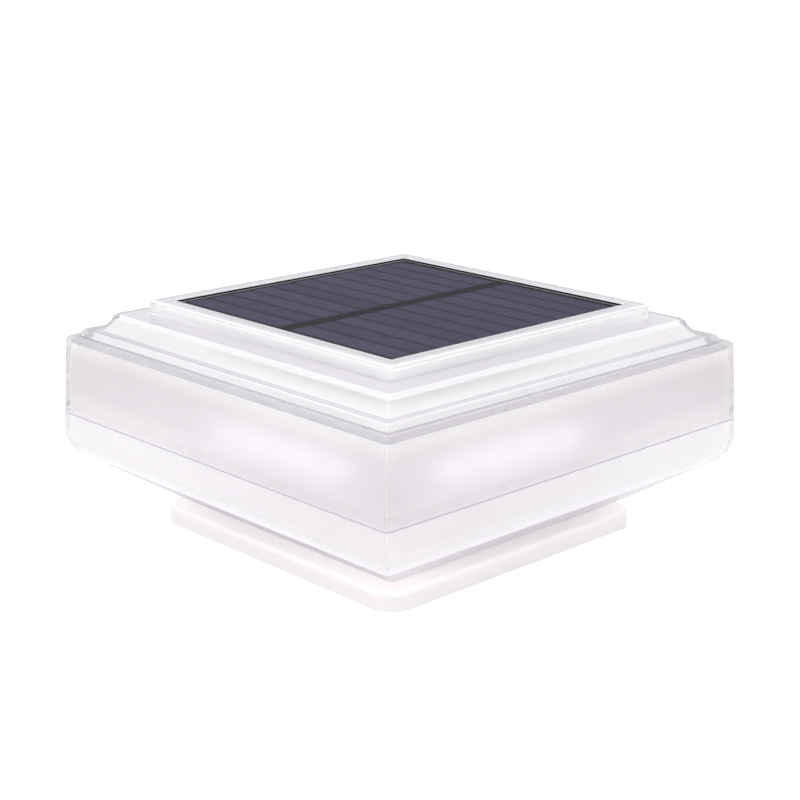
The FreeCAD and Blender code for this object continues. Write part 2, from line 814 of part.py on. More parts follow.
def switch_body():
    half = switch_size / 2
    body = block(switch_x - half, switch_x + half, pcb_offset - half,
                 pcb_offset + half, switch_bottom, pcb_bottom)
    depth = plunger_inside + button_travel + plunger_gap
    return body.cut(rod(switch_x, pcb_offset, switch_bottom, switch_bottom + depth,
                        plunger_radius + plunger_gap))


def switch_plunger():
    return rod(switch_x, pcb_offset, plunger_bottom, switch_bottom + plunger_inside,
               plunger_radius)


def power_button():
    x, y = switch_x, pcb_offset
    face = plate_bottom - button_stands_out
    cap = rod(x, y, face, button_flange_top, button_radius)
    cap = cap.makeChamfer(button_edge, ring_edges_round(cap, button_radius, face))
    flange = post(x, y, button_flange_bottom, button_flange_top, button_flange_half)
    stem = rod(x, y, button_flange_top, plunger_bottom, plunger_radius + plunger_gap)
    return fuse([cap, flange, stem])


def button_seal():
    x, y = switch_x, pcb_offset
    pad = post(x, y, plate_top - seal_pocket, plate_top, seal_half)
    return pad.cut(rod(x, y, plate_top - seal_pocket, plate_top, button_radius + seal_gap))


# ---- Write one file per piece ----
cells = solar_cells()
save("post_collar", post_collar())
save("tray", tray())
save("shade", shade())
save("panel_seal", panel_seal())
save("panel_board", panel_board())
save("solar_cells", Part.makeCompound(cells))
save("panel_coat", panel_coat(cells))
save("panel_terminals", Part.makeCompound(panel_terminals()))
save("lamp_housing", lamp_housing())
save("housing_gasket", housing_gasket())
save("base_plate", base_plate())
save("core_screws", Part.makeCompound(core_screws()))
save("battery_cell", battery_cell())
save("contact_plate", contact_plate())
save("contact_leaf", contact_leaf())
save("battery_door", battery_door())
save("door_gasket", door_gasket())
save("door_screw", door_screw())
save("circuit_board", circuit_board())
save("board_components", Part.makeCompound(board_components()))
save("board_connectors", Part.makeCompound(board_connectors()))
save("switch_body", switch_body())
save("switch_plunger", switch_plunger())
save("power_button", power_button())
save("button_seal", button_seal())
for side, angle in (("right", 0), ("back", 90), ("left", 180), ("front", 270)):
    save("led_board_" + side, turned(led_board(), angle))
    save("led_chips_" + side, turned(Part.makeCompound(led_chips()), angle))
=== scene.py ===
import math

import bmesh
import bpy
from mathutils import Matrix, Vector


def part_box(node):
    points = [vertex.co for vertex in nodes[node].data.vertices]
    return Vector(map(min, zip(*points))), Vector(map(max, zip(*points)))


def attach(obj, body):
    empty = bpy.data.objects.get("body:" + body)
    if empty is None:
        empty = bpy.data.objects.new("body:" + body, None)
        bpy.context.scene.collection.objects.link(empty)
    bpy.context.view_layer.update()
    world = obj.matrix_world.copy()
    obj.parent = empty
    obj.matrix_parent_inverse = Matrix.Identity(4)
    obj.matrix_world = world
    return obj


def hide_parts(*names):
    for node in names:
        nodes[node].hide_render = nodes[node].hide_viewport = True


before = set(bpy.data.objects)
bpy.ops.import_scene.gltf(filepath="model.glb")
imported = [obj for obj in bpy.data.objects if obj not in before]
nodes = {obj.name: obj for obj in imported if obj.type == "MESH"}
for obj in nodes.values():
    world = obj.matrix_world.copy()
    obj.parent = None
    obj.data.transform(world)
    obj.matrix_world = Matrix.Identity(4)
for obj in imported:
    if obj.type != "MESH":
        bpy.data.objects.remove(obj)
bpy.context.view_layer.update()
print("frame loaded,", len(nodes), "nodes")

mm = 0.001


# Shader maths: a wire stands for a socket, and sums of wires add Math nodes
class Wire:
    def __init__(self, sheet, socket):
        self.sheet = sheet
        self.socket = socket

    def maths(self, operation, *terms):
        return self.sheet.add("ShaderNodeMath", {"operation": operation}, dict(enumerate(terms)))

    def __add__(self, other):
        return self.maths("ADD", self, other)

    def __sub__(self, other):
        return self.maths("SUBTRACT", self, other)

    def __rsub__(self, other):
        return self.maths("SUBTRACT", other, self)

    def __mul__(self, other):
        return self.maths("MULTIPLY", self, other)

    def __truediv__(self, other):
        return self.maths("DIVIDE", self, other)

    def __rtruediv__(self, other):
        return self.maths("DIVIDE", other, self)

    def __pow__(self, other):
        return self.maths("POWER", self, other)

    def __rpow__(self, other):
        return self.maths("POWER", other, self)

    def __abs__(self):
        return self.maths("ABSOLUTE", self)

    __radd__ = __add__
    __rmul__ = __mul__

    def over(self, limit):
        return self.maths("GREATER_THAN", self, limit)

    def larger(self, other):
        return self.maths("MAXIMUM", self, other)

    def smaller(self, other):
        return self.maths("MINIMUM", self, other)


# One node tree, of a material or of the world
class Sheet:
    def __init__(self, tree):
        self.tree = tree
        tree.nodes.clear()

    def add(self, kind, settings=None, inputs=None, output=0):
        node = self.tree.nodes.new(kind)
        for key, value in (settings or {}).items():
            setattr(node, key, value)
        for key, value in (inputs or {}).items():
            if isinstance(value, Wire):
                self.tree.links.new(value.socket, node.inputs[key])
            else:
                node.inputs[key].default_value = value
        return Wire(self, node.outputs[output])

    def place(self):
        return self.add("ShaderNodeTexCoord", output="Object")

    def axes(self):
        place = self.place()
        return [self.add("ShaderNodeSeparateXYZ", inputs={0: place}, output=axis)
                for axis in range(3)]

    def noise(self, scale, detail=2.0, rough=0.5, place=None):
        return self.add("ShaderNodeTexNoise", inputs={
            "Vector": place or self.place(), "Scale": scale, "Detail": detail, "Roughness": rough})

    def blend(self, share, low, high):
        settings = {"data_type": "RGBA", "clamp_factor": True}
        inputs = {0: share, 6: asColour(low), 7: asColour(high)}
        return self.add("ShaderNodeMix", settings, inputs, output=2)

    def spread(self, value, low, high, newLow=0.0, newHigh=1.0):
        inputs = {0: value, 1: low, 2: high, 3: newLow, 4: newHigh}
        return self.add("ShaderNodeMapRange", {"clamp": True}, inputs)

    def vary(self, texture, low=0.0, high=1.0):  # most of a noise lies between 0.3 and 0.7
        return self.spread(texture, 0.3, 0.7, low, high)

    def bump(self, height, strength, distance, normal=None):
        inputs = {"Height": height, "Strength": strength, "Distance": distance}
        if normal:
            inputs["Normal"] = normal
        return self.add("ShaderNodeBump", inputs=inputs)

    def rays(self, *kinds):
        total = path = self.add("ShaderNodeLightPath", output=kinds[0])
        for kind in kinds[1:]:
            total = total.larger(Wire(self, path.socket.node.outputs[kind]))
        return total

    def surface(self, shader):
        kind = "World" if self.tree.id_data.name == "studio" else "Material"
        end = self.tree.nodes.new("ShaderNodeOutput" + kind)
        self.tree.links.new(shader.socket, end.inputs["Surface"])


def asColour(value):
    return value if isinstance(value, Wire) or len(value) == 4 else (*value, 1.0)


def newMaterial(name):
    material = bpy.data.materials.new(name)
    material.use_nodes = True
    return material, Sheet(material.node_tree)


def linear(red, green, blue):  # a colour as the eye reads it, 0 to 255, as the shader takes it
    steps = []
    for value in (red, green, blue):
        value /= 255
        steps.append(value / 12.92 if value <= 0.04045 else ((value + 0.055) / 1.055) ** 2.4)
    return tuple(steps)


# Clear moulded plastic: sharp on the outside, etched on the inside of the walls
clearPlastic = {
    "ior": 1.49,
    "skinTint": (0.992, 0.986, 0.992),
    "skinRough": 0.09,
    "wave": 0.004, "waveScale": 60.0, "waveDepth": 0.0006,   # how the moulded skin waves
    "glossScale": 400.0,
    "edgeShadeColour": linear(162, 157, 172),
    "edgeStart": 0.5,         # where that painted edge shade starts, from 0 facing the eye to 1 edge on
    "edge": (0.9, 1.8), "trayEdge": (0.45, 6.0),   # its most, and how late it comes
    "wallShadedTint": (0.73, 0.70, 0.72), "wallShadedBright": (0.80, 0.77, 0.785),     # painted shade of the drafted walls
    "tierTint": (0.935, 0.93, 0.94), "tierBright": (0.975, 0.97, 0.975),   # above the walls
    "cloudScale": 35.0, "etchScale": 2600.0, "etch": 0.1, "etchDepth": 0.00003,
    "frostRough": 0.42, "frostBody": 0.55,    # share of the etched face that scatters like paper
    "trayRough": 0.3, "trayBody": 0.78, "trayTint": (0.965, 0.95, 0.958),
    "paintedShadeGlow": (0.022, 0.021, 0.022),       # painted glow that the shade's plastic gives off, though it is no lamp
    "wallTop": 0.0655, "wallLow": 0.0405,     # the walls' painted shade eases towards both, in metres
    "topFade": 0.006, "lowFade": 0.009, "lowShare": 0.55,
    "ringPaintedShade": (0.4, 0.385, 0.41),           # painted shade under the flat ring, where little of the glow comes
    "ringLow": 0.06545, "ringHigh": 0.0657, "ringSharp": 0.00005, "ringSoft": 0.0003,
    "lampTint": (0.96, 0.955, 0.965),         # what the plastic leaves of the lamps' light
}


def passLamps(sheet, shader, *kinds):  # lamps reach what is behind this plastic
    tint = asColour(clearPlastic["lampTint"])
    clear = sheet.add("ShaderNodeBsdfTransparent", inputs={"Color": tint})
    gate = sheet.rays(*kinds)
    return sheet.add("ShaderNodeMixShader", inputs={0: gate, 1: shader, 2: clear})


def makeSkin(name, tint, rough, edgeShare, edgePower):
    kit = clearPlastic
    material, sheet = newMaterial(name)
    swell = sheet.noise(kit["waveScale"], 2.0, 0.45)
    relief = sheet.bump(swell, kit["wave"], kit["waveDepth"])
    haze = sheet.noise(kit["glossScale"], 3.0, 0.6)
    gloss = sheet.vary(haze, rough * 0.8, rough * 1.2)
    glass = sheet.add("ShaderNodeBsdfPrincipled", inputs={
        "Base Color": asColour(tint), "Roughness": gloss, "IOR": kit["ior"],
        "Transmission Weight": 1.0, "Normal": relief})
    # painted edge shade: a lilac-grey diffuse veil mixed in towards grazing angles
    turn = sheet.add("ShaderNodeLayerWeight", inputs={"Blend": 0.5}, output="Facing")
    paintedEdgeShade = sheet.add("ShaderNodeBsdfDiffuse", inputs={"Color": asColour(kit["edgeShadeColour"])})
    share = (sheet.spread(turn, kit["edgeStart"], 1.0) ** edgePower) * edgeShare
    skin = sheet.add("ShaderNodeMixShader", inputs={0: share, 1: glass, 2: paintedEdgeShade})
    sheet.surface(passLamps(sheet, skin, "Is Shadow Ray", "Is Diffuse Ray"))
    return material


def shadePaintedShading(sheet, cloud):  # painted shade: darker on the walls than on the tiers, darkest under the ring, paler towards the wall's top and foot
    kit = clearPlastic
    wallShadedTint = sheet.blend(cloud, kit["wallShadedTint"], kit["wallShadedBright"])
    tierTint = sheet.blend(cloud, kit["tierTint"], kit["tierBright"])
    height = sheet.axes()[2]
    tier = sheet.spread(height, kit["wallTop"] - kit["topFade"], kit["wallTop"])
    low = sheet.spread(height, kit["wallLow"] + kit["lowFade"], kit["wallLow"],
                       0.0, kit["lowShare"])
    tint = sheet.blend(tier.larger(low), wallShadedTint, tierTint)
    above = sheet.spread(height, kit["ringLow"] - kit["ringSharp"], kit["ringLow"])
    below = sheet.spread(height, kit["ringHigh"] + kit["ringSoft"], kit["ringHigh"])
    return sheet.blend(above * below, tint, kit["ringPaintedShade"])


def makeFrost(name, rough, body, tray=False):
    kit = clearPlastic
    material, sheet = newMaterial(name)
    cloud = sheet.noise(kit["cloudScale"], 3.0, 0.55)
    relief = sheet.bump(sheet.noise(kit["etchScale"], 4.0, 0.65), kit["etch"], kit["etchDepth"])
    if tray:
        tint = sheet.blend(cloud, kit["trayTint"], kit["tierTint"])
    else:
        tint = shadePaintedShading(sheet, cloud)
    glass = sheet.add("ShaderNodeBsdfPrincipled", inputs={
        "Base Color": tint, "Roughness": rough, "IOR": kit["ior"],
        "Transmission Weight": 1.0, "Normal": relief})
    paper = sheet.add("ShaderNodeBsdfDiffuse", inputs={"Color": tint, "Normal": relief})
    through = sheet.add("ShaderNodeBsdfTranslucent", inputs={"Color": tint, "Normal": relief})
    scatter = sheet.add("ShaderNodeMixShader", inputs={0: 0.5, 1: paper, 2: through})
    face = sheet.add("ShaderNodeMixShader", inputs={0: body, 1: glass, 2: scatter})
    # painted glow: the shade's plastic gives off a little light of its own, though it is no lamp
    if not tray:
        glow = asColour(kit["paintedShadeGlow"])
        lit = sheet.add("ShaderNodeEmission", inputs={"Color": glow, "Strength": 1.0})
        face = sheet.add("ShaderNodeAddShader", inputs={0: face, 1: lit})
    sheet.surface(passLamps(sheet, face, "Is Shadow Ray"))
    return material


satinEdge = {
    "speckScale": 1200.0, "dark": 0.93, "rough": 0.35,
    "seam": (linear(190, 184, 198), 0.75), "bezel": ((0.9, 0.895, 0.9), 0.85),   # and how solid
}


def makeEdge(name, colour, share):  # small satin edges, which show no sharp reflection
    material, sheet = newMaterial(name)
    speck = sheet.noise(satinEdge["speckScale"])
    dark = tuple(value * satinEdge["dark"] for value in colour)
    paper = sheet.add("ShaderNodeBsdfPrincipled", inputs={
        "Base Color": sheet.blend(speck, dark, colour), "Roughness": satinEdge["rough"]})
    clear = sheet.add("ShaderNodeBsdfTransparent", inputs={"Color": (1, 1, 1, 1)})
    face = sheet.add("ShaderNodeMixShader", inputs={0: share, 1: clear, 2: paper})
    sheet.surface(passLamps(sheet, face, "Is Shadow Ray"))
    return material


fused = {"hazeScale": 200.0, "haze": 0.03, "milk": (0.9, 0.9, 0.92)}


def makeWeld(name):  # where the halves are fused, nothing parts them
    material, sheet = newMaterial(name)
    haze = sheet.vary(sheet.noise(fused["hazeScale"]), 0.0, fused["haze"])
    clear = sheet.add("ShaderNodeBsdfTransparent", inputs={"Color": (1, 1, 1, 1)})
    milk = sheet.add("ShaderNodeBsdfDiffuse", inputs={"Color": asColour(fused["milk"])})
    sheet.surface(sheet.add("ShaderNodeMixShader", inputs={0: haze, 1: clear, 2: milk}))
    return material


moulding = {"cloudScale": 40.0, "grainScale": 700.0, "grainDepth": 0.00006}


def moulded(name, colour, rough, grain=0.15, fleck=0.03, shine=0.5):
    material, sheet = newMaterial(name)
    cloud = sheet.noise(moulding["cloudScale"], 3.0, 0.5)
    texture = sheet.noise(moulding["grainScale"], 4.0, 0.6)
    dark = tuple(value * (1 - fleck * 2) for value in colour)
    tint = sheet.blend(sheet.vary(cloud), dark, colour)
    gloss = sheet.vary(texture, rough * 0.85, min(rough * 1.15, 1.0))
    relief = sheet.bump(texture, grain, moulding["grainDepth"])
    shader = sheet.add("ShaderNodeBsdfPrincipled", inputs={
        "Base Color": tint, "Roughness": gloss, "Specular IOR Level": shine, "Normal": relief})
    sheet.surface(shader)
    return material


# a loft's materials, by place in its list
skinFace, frostFace, weldFace, bedFace, lineFace, brightFace = range(6)
tongueFace = bedFace      # the tray has no bed, and keeps that place for its tongue


leastCorner = 0.05
middle = 0.5              # a face that closes a loft starts from a square of this half width


# A mould's outline, drawn in half widths and heights, in millimetres.
# Each stop is (half width, height, corner radius, direction of the outline there).
class Outline:
    def __init__(self, half, height, corner):
        self.at = (half, height, corner)
        self.runs = []

    def to(self, half, height, corner=None, finish=skinFace):
        corner = self.at[2] if corner is None else corner
        step = [b - a for a, b in zip(self.at, (half, height, corner))]
        start, self.at = self.at, (half, height, corner)
        self.runs.append((finish, [(*start, *step), (*self.at, *step)]))

    # round a centre, from one angle to the other, in degrees; the corner may tighten with the arc
    def turn(self, centre, radius, first, last, steps, tighten=False, finish=skinFace):
        stops = []
        corner0 = self.at[2]
        half0 = centre[0] + radius * math.cos(math.radians(first))
        way = 1 if last > first else -1
        for count in range(steps + 1):
            angle = math.radians(first + (last - first) * count / steps)
            half = centre[0] + radius * math.cos(angle)
            height = centre[1] + radius * math.sin(angle)
            dHalf, dHeight = -way * math.sin(angle), way * math.cos(angle)
            corner = max(corner0 + half - half0, leastCorner) if tighten else corner0
            stops.append((half, height, corner, dHalf, dHeight, dHalf if tighten else 0.0))
        self.runs.append((finish, stops))
        self.at = stops[-1][:3]


cornerSteps = 10


# points round a square with rounded corners, and which way each faces
def ringPlaces(half, corner):
    found = []
    for quarter in range(4):
        middle = math.radians(90 * quarter + 45)
        cx = math.copysign(half - corner, math.cos(middle))
        cy = math.copysign(half - corner, math.sin(middle))
        for step in range(cornerSteps + 1):
            angle = math.radians(90 * quarter + 90 * step / cornerSteps)
            ux, uy = math.cos(angle), math.sin(angle)
            found.append((cx + corner * ux, cy + corner * uy, ux, uy))
    return found


def loft(name, outlines, materials):
    shape = bmesh.new()
    facing = []
    for outline, closed in outlines:
        known = {}
        lastRing = None
        for number, (finish, stops) in enumerate(outline.runs):
            rings = []
            for stop in stops:
                half, height, corner, dHalf, dHeight, dCorner = stop
                places = ringPlaces(half, corner)
                key = tuple(round(value, 4) for value in stop[:3])
                if key not in known:
                    known[key] = [shape.verts.new((x * mm, y * mm, height * mm))
                                  for x, y, *_ in places]
                normals = []
                for *_, ux, uy in places:
                    lean = (dHalf - dCorner) * (abs(ux) + abs(uy)) + dCorner
                    normals.append(Vector((dHeight * ux, dHeight * uy, -lean)).normalized())
                rings.append((known[key], normals))
            for (low, lowFacing), (high, highFacing) in zip(rings, rings[1:]):
                total = len(low)
                for j in range(total):
                    k = (j + 1) % total
                    face = shape.faces.new([low[j], low[k], high[k], high[j]])
                    face.material_index = finish
                    face.smooth = True
                    facing += [lowFacing[j], lowFacing[k], highFacing[k], highFacing[j]]
            if number == 0 and not closed:
                cap = shape.faces.new(list(reversed(rings[0][0])))
                cap.material_index = finish
                facing += [Vector((0, 0, -1))] * len(rings[0][0])
            lastRing = rings[-1][0]
        if not closed:
            cap = shape.faces.new(lastRing)
            cap.material_index = outline.runs[-1][0]
            facing += [Vector((0, 0, 1))] * len(lastRing)
    mesh = bpy.data.meshes.new(name)
    shape.to_mesh(mesh)
    shape.free()
    for material in materials:
        mesh.materials.append(material)
    mesh.normals_split_custom_set(facing)
    piece = bpy.data.objects.new(name, mesh)
    bpy.context.scene.collection.objects.link(piece)
    return piece


# The clear tray and shade, in millimetres and degrees
shell = {
    "wall": 2.6, "draft": 2.7, "slope": 33.0, "corner": 2.0, "innerCorner": 0.3,
    "foot": 6.3, "throat": 52.35, "tubeOuter": 50.4, "tubeInner": 48.2, "tubeTop": 26.9,
    "beltHalf": 85.014, "beltHeight": 27.512, "bellyRadius": 11.5,
    "seam": 40.105, "ring": 68.105, "wallEdge": 2.0,
    "lipHalf": 78.55, "lipFlare": 1.0, "lipHeight": 2.15, "lipEdge": 1.0,
    "coveHalf": 75.05, "coveHeight": 5.6, "coveRadius": 10.0, "crestHalf": 70.55, "crestEdge": 0.5,
    "bezelHalf": 61.8, "bezelHeight": 5.0, "bezelFlare": 0.3, "bezelEdge": 0.8,
    "recessHalf": 55.3, "recessDepth": 3.4, "floor": 2.2, "groove": 3.6, "rim": 2.2,
    "tongue": 1.1, "tongueHeight": 3.5, "tongueGap": 0.1, "seamEdge": 0.25, "recessEdge": 0.3,
    "tubeCorner": 0.8, "tubeOuterCorner": 3.0, "lipCorner": 1.5, "bezelCorner": 1.0,
    "bellySteps": 14, "insideSteps": 10, "wallEdgeSteps": 8, "lipSteps": 6, "coveSteps": 12,
    "recessSteps": 3,
}


def sine(degrees):
    return math.sin(math.radians(degrees))


def cosine(degrees):
    return math.cos(math.radians(degrees))


def tangent(degrees):
    return math.tan(math.radians(degrees))


def slant(opposite, adjacent):  # the angle in degrees whose tangent is their quotient
    return math.degrees(math.atan2(opposite, adjacent))


def wallHalf(height):
    return shell["beltHalf"] - (height - shell["beltHeight"]) * tangent(shell["draft"])


def trayOutline():
    kit = shell
    slope, draft = kit["slope"], kit["draft"]
    radius, wall = kit["bellyRadius"], kit["wall"]
    reach = radius / cosine((90 - slope + draft) / 2)
    aim = (slope - 90 + draft) / 2
    centre = (kit["beltHalf"] - reach * cosine(aim), kit["beltHeight"] - reach * sine(aim))
    lean = wall / cosine(draft)
    seam, foot = kit["seam"], kit["foot"]
    outline = Outline(kit["tubeInner"], foot, kit["tubeCorner"])
    outline.to(kit["throat"], foot, kit["corner"])
    outline.to(centre[0] + radius * sine(slope), centre[1] - radius * cosine(slope), kit["corner"])
    outline.turn(centre, radius, slope - 90, draft, kit["bellySteps"])
    outline.to(wallHalf(seam - kit["seamEdge"]), seam - kit["seamEdge"])
    outline.to(wallHalf(seam) - kit["seamEdge"], seam, finish=lineFace)
    inside = wallHalf(seam) - lean
    outline.to(inside + kit["tongue"], seam, kit["innerCorner"], finish=weldFace)
    outline.to(inside + kit["tongue"], seam + kit["tongueHeight"], finish=weldFace)
    outline.to(inside, seam + kit["tongueHeight"], finish=weldFace)
    outline.to(inside, seam, finish=tongueFace)
    inner = radius - wall
    outline.to(centre[0] + inner * cosine(draft), centre[1] + inner * sine(draft),
               finish=frostFace)
    outline.turn(centre, inner, draft, slope - 90, kit["insideSteps"], finish=frostFace)
    low = outline.at
    half = kit["tubeOuter"]
    height = low[1] - (low[0] - half) * tangent(slope)
    outline.to(half, height, kit["tubeOuterCorner"], finish=frostFace)
    outline.to(half, kit["tubeTop"], kit["tubeOuterCorner"])
    outline.to(kit["tubeInner"], kit["tubeTop"], kit["tubeCorner"])
    outline.to(kit["tubeInner"], foot, kit["tubeCorner"])
    return outline


def shadeOutline():
    kit = shell
    seam, ring, wall = kit["seam"], kit["ring"], kit["wall"]
    lean = wall / cosine(kit["draft"])
    lipTop = ring + kit["lipHeight"]
    shelf = lipTop + kit["coveHeight"]
    bezelTop = shelf + kit["bezelHeight"]
    floorTop = bezelTop - kit["recessDepth"]
    floorLow = floorTop - kit["floor"]
    inside = wallHalf(seam) - lean
    ceiling = ring - wall
    pitch = (kit["coveHalf"] - kit["crestHalf"]) / kit["coveHeight"]
    offset = wall * math.hypot(1, pitch)
    coveLow = kit["coveHalf"] - offset + (lipTop - ceiling) * pitch
    coveHigh = kit["crestHalf"] - offset + wall * pitch
    small = kit["innerCorner"]

    # the underside, from the middle out and down to the seam
    outline = Outline(middle, floorLow, small)
    near, far = kit["recessHalf"] + kit["rim"], kit["bezelHalf"] - kit["rim"]
    outline.to(near, floorLow, finish=frostFace)
    outline.to(near, floorLow + kit["groove"], finish=frostFace)
    outline.to(far, floorLow + kit["groove"], finish=frostFace)
    outline.to(far, shelf - wall, finish=frostFace)
    outline.to(coveHigh, shelf - wall, finish=frostFace)
    outline.to(coveLow, ceiling, finish=frostFace)
    outline.to(wallHalf(ceiling) - lean, ceiling, finish=frostFace)
    outline.to(inside, seam + kit["tongueHeight"], finish=frostFace)
    rebate = inside + kit["tongue"] + kit["tongueGap"]
    outline.to(rebate, seam + kit["tongueHeight"], finish=weldFace)
    outline.to(rebate, seam, finish=weldFace)
    outline.to(wallHalf(seam) - kit["seamEdge"], seam, kit["corner"], finish=weldFace)
    outline.to(wallHalf(seam + kit["seamEdge"]), seam + kit["seamEdge"], finish=lineFace)

    # the outside, from the seam up to the flat ring
    edge, draft = kit["wallEdge"], kit["draft"]
    height = ring - edge + edge * sine(draft)
    outline.to(wallHalf(height), height)
    centre = (wallHalf(height) - edge * cosine(draft), ring - edge)
    outline.turn(centre, edge, draft, 90, kit["wallEdgeSteps"], tighten=True)
    outline.to(kit["lipHalf"] + kit["lipFlare"], ring, kit["lipCorner"])

    # the leaning lip, and the cove above it
    side = slant(kit["lipFlare"], kit["lipHeight"])
    edge = kit["lipEdge"]
    reach = edge * tangent((90 - side) / 2)
    outline.to(kit["lipHalf"] + reach * sine(side), lipTop - reach * cosine(side))
    centre = (kit["lipHalf"] - reach, lipTop - edge)
    outline.turn(centre, edge, side, 90, kit["lipSteps"], tighten=True)
    outline.to(kit["coveHalf"], lipTop, kit["lipCorner"])
    width, height = kit["coveHalf"] - kit["crestHalf"], kit["coveHeight"]
    chord = math.hypot(width, height)
    away = math.sqrt(kit["coveRadius"] ** 2 - chord ** 2 / 4)
    centre = ((kit["coveHalf"] + kit["crestHalf"]) / 2 + away * height / chord,
              (lipTop + shelf) / 2 + away * width / chord)
    first = slant(lipTop - centre[1], kit["coveHalf"] - centre[0]) % 360
    last = slant(shelf - kit["crestEdge"] - centre[1],
                 kit["crestHalf"] + kit["crestEdge"] / 2 - centre[0]) % 360
    outline.turn(centre, kit["coveRadius"], first, last, kit["coveSteps"])
    outline.to(kit["crestHalf"] - kit["crestEdge"], shelf)

    # the shelf, the bezel and the panel's recess
    outline.to(kit["bezelHalf"], shelf, kit["bezelCorner"])
    side = slant(kit["bezelFlare"], kit["bezelHeight"])
    edge = kit["bezelEdge"]
    top = kit["bezelHalf"] - kit["bezelFlare"]
    reach = edge * tangent((90 - side) / 2)
    outline.to(top + reach * sine(side), bezelTop - reach * cosine(side))
    centre = (top - reach, bezelTop - edge)
    outline.turn(centre, edge, side, 90, kit["lipSteps"], tighten=True, finish=brightFace)
    edge = kit["recessEdge"]
    outline.to(kit["recessHalf"] + edge, bezelTop, small)
    centre = (kit["recessHalf"] + edge, bezelTop - edge)
    outline.turn(centre, edge, 90, 180, kit["recessSteps"], finish=brightFace)
    outline.to(kit["recessHalf"], floorTop, finish=bedFace)
    outline.to(middle, floorTop, finish=bedFace)
    return outline


kit = clearPlastic
skin = makeSkin("skinWithPaintedEdgeShade", kit["skinTint"], kit["skinRough"], *kit["edge"])
traySkin = makeSkin("traySkinWithPaintedEdgeShade", kit["skinTint"], kit["skinRough"], *kit["trayEdge"])
frost = makeFrost("etchedWithPaintedShadeAndGlow", kit["frostRough"], kit["frostBody"])
trayFrost = makeFrost("etchedTray", kit["trayRough"], kit["trayBody"], tray=True)
bed = moulded("whitePanelBed", (0.93, 0.925, 0.935), 0.5, 0.2, 0.01)
weld = makeWeld("fusedSeam")
seamLine = makeEdge("seamLine", *satinEdge["seam"])
brightEdge = makeEdge("bezelEdge", *satinEdge["bezel"])

trayFaces = [traySkin, trayFrost, weld, frost, seamLine]
trayPiece = loft("clearTray", [(trayOutline(), True)], trayFaces)
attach(trayPiece, "cap_light")
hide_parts("tray")

shadeFaces = [skin, frost, weld, bed, seamLine, brightEdge]
shadePiece = loft("clearShade", [(shadeOutline(), False)], shadeFaces)
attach(shadePiece, "cap_light")
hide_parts("shade")
print("clear tray and shade moulded")


# The finishes of the pieces that keep their solids
brushing = {
    "stretch": (1.0, 1.0, 12.0), "scale": 900.0, "dark": 0.8, "grain": 0.1, "depth": 0.00002,
}


def metal(name, colour, rough):
    material, sheet = newMaterial(name)
    place = sheet.add("ShaderNodeMapping", inputs={0: sheet.place(), "Scale": brushing["stretch"]})
    brush = sheet.noise(brushing["scale"], 4.0, 0.6, place)
    dark = tuple(value * brushing["dark"] for value in colour)
    tint = sheet.blend(sheet.vary(brush), dark, colour)
    gloss = sheet.vary(brush, rough * 0.8, rough * 1.2)
    relief = sheet.bump(brush, brushing["grain"], brushing["depth"])
    shader = sheet.add("ShaderNodeBsdfPrincipled", inputs={
        "Base Color": tint, "Roughness": gloss, "Metallic": 1.0, "Normal": relief})
    sheet.surface(shader)
    return material


finishes = {
    "post_collar": moulded("whiteCollar", (0.95, 0.925, 0.915), 0.42, 0.12, 0.01),
    "base_plate": moulded("whiteBase", (0.86, 0.86, 0.86), 0.5, 0.3),
    "battery_door": moulded("whiteDoor", (0.85, 0.85, 0.85), 0.5, 0.3),
    "panel_seal": moulded("panelSilicone", (0.75, 0.75, 0.74), 0.5),
    "housing_gasket": moulded("housingSilicone", (0.7, 0.7, 0.7), 0.5),
    "door_gasket": moulded("doorSilicone", (0.6, 0.6, 0.6), 0.5),
    "button_seal": moulded("buttonSilicone", (0.65, 0.65, 0.65), 0.45),
    "panel_board": moulded("blackLaminate", linear(26, 26, 29), 0.6, shine=0.0),
    "battery_cell": moulded("cellSleeve", (0.12, 0.35, 0.62), 0.3),
    "circuit_board": moulded("solderMask", (0.03, 0.22, 0.1), 0.35),
    "board_components": moulded("blackMoulding", (0.04, 0.04, 0.042), 0.5),
    "board_connectors": moulded("nylon", (0.85, 0.82, 0.74), 0.5),
    "switch_body": moulded("switchBlack", (0.05, 0.05, 0.052), 0.5),
    "switch_plunger": moulded("plungerIvory", (0.85, 0.8, 0.66), 0.4),
    "power_button": moulded("buttonGrey", (0.42, 0.43, 0.46), 0.4, 0.3),
    "core_screws": metal("longScrewSteel", (0.68, 0.67, 0.66), 0.3),
    "door_screw": metal("doorScrewSteel", (0.68, 0.67, 0.66), 0.3),
    "contact_plate": metal("contactNickel", (0.75, 0.72, 0.66), 0.22),
    "contact_leaf": metal("leafNickel", (0.75, 0.72, 0.66), 0.22),
    "panel_terminals": metal("solderTin", (0.7, 0.7, 0.7), 0.4),
}

# The solar panel: lengths of the sheet in millimetres, and of the strips in metres
panel = {
    "half": 55.0, "low": 79.99, "high": 80.68, "edge": 0.12, "corner": 0.2, "edgeSteps": 4,
    "firstStrip": -0.0518, "pitch": 0.0094636, "fingers": 8,
    "cell": linear(54, 54, 72), "cellBright": linear(72, 72, 92), "finger": linear(92, 92, 108),
    "chance": 0.45, "flake": 0.3, "cloud": 0.35,      # what makes a cell lighter or darker
    "flakeScale": 420.0, "cloudScale": 60.0, "rowSeed": 17.0,
    "stripMiddle": 0.474, "stripEdge": linear(34, 34, 44), "gap": (0.38, 0.44), "gapShare": 0.85,
    "line": (0.42, 0.46), "lineShare": 0.35, "lineRelief": 0.2, "lineDepth": 0.00002,
    "cellRough": (0.32, 0.48),
    "resinTint": (0.96, 0.96, 0.97), "mirrorTint": (0.95, 0.95, 1.0), "resinRough": 0.18,
    "swellScale": 45.0, "swell": 0.1, "swellDepth": 0.0003,
    "pitScale": 1400.0, "pit": 0.15, "pitDepth": 0.00003,
    "turn": 0.12, "gloss": 0.042,       # how the resin's mirror grows, and its share head on
}


